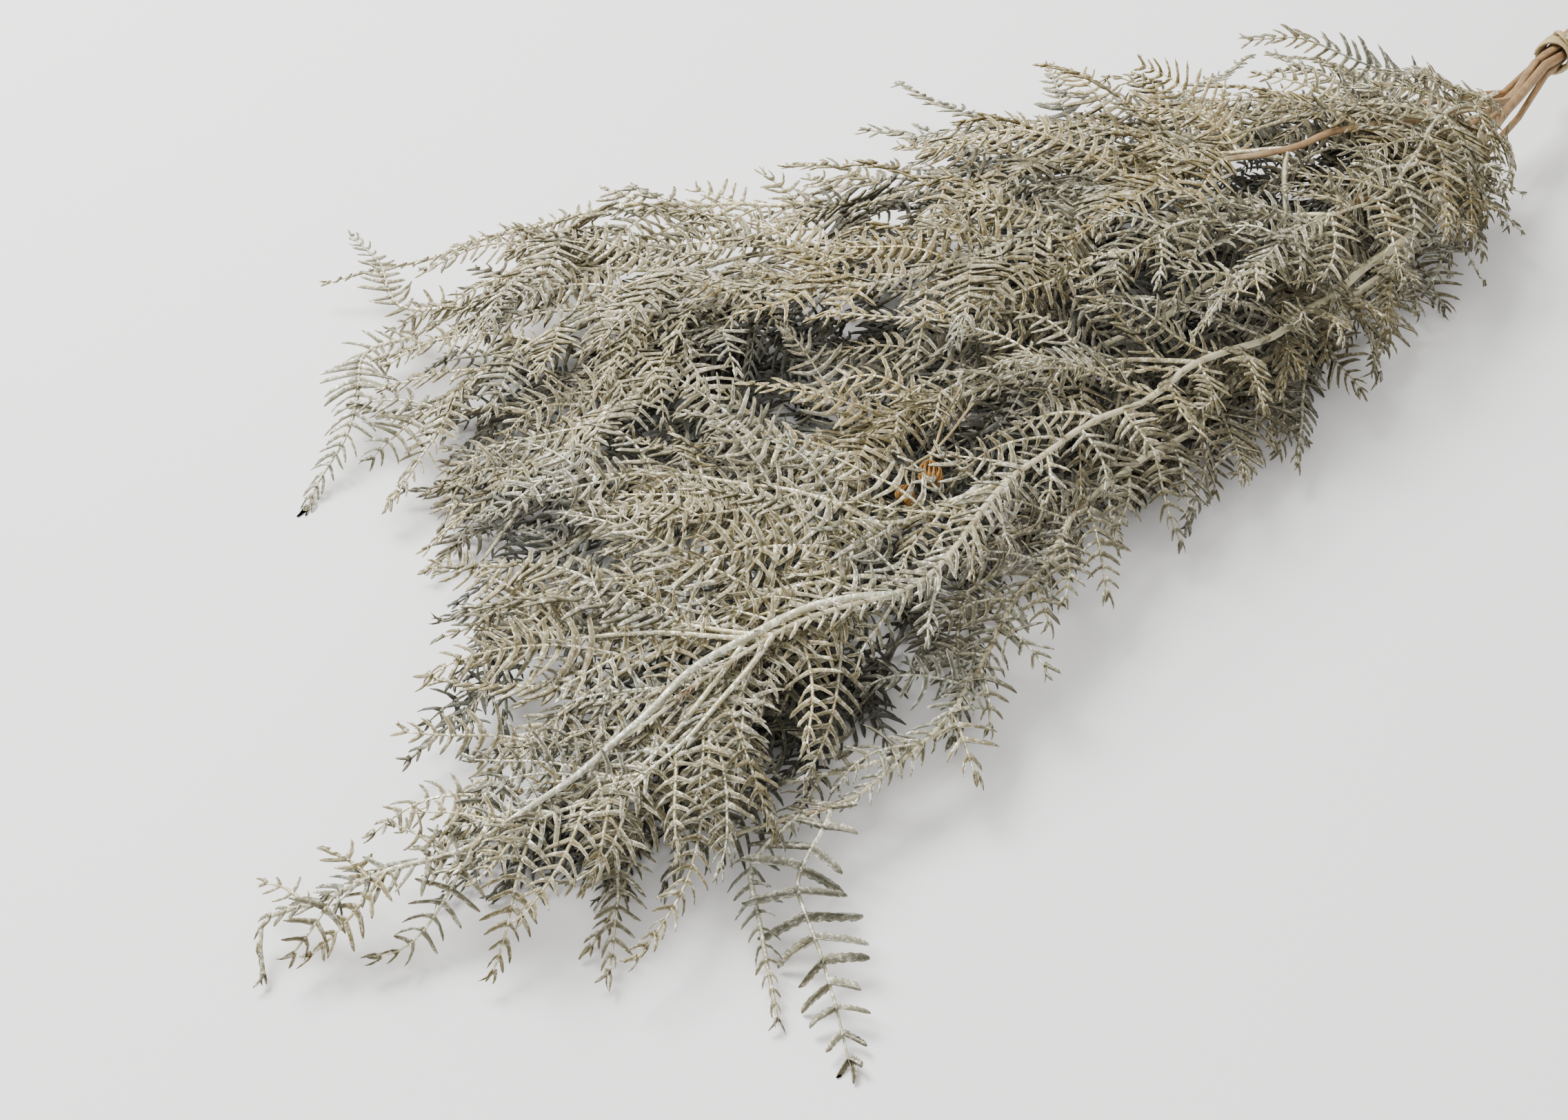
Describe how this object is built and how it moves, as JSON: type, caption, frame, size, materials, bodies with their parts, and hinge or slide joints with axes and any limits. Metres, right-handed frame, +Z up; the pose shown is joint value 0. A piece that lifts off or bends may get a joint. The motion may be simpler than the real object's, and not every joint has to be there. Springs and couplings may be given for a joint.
{
  "type": "dried fern bunch",
  "caption": "Low fan-shaped bunch of dried, whitewashed fern fronds with twisted stems held by a raffia tie, lying on a surface.",
  "frame": {"origin": "flat spot under the lowest frond's stem, on the surface that the bunch lies on, near the middle of the pile", "axes": "+X from the stems to the tips, +Z up from the surface, +Y to the left seen from the stems"},
  "size_m": [0.6422, 0.307, 0.0556],
  "materials": {
    "fern": "dried leaf washed with pale paint, with silver flecks on ribs and leaflet edges",
    "raffia": "dull dry straw fibre",
    "seed": "matt dry seed head, orange brown"
  },
  "bodies": {
    "root": {"frond_under": "fern", "frond_right": "fern", "frond_back": "fern", "frond_centre": "fern", "frond_middle": "fern", "frond_front": "fern", "raffia_tie": "raffia", "seed_heads": "seed"}
  },
  "joints": []
}
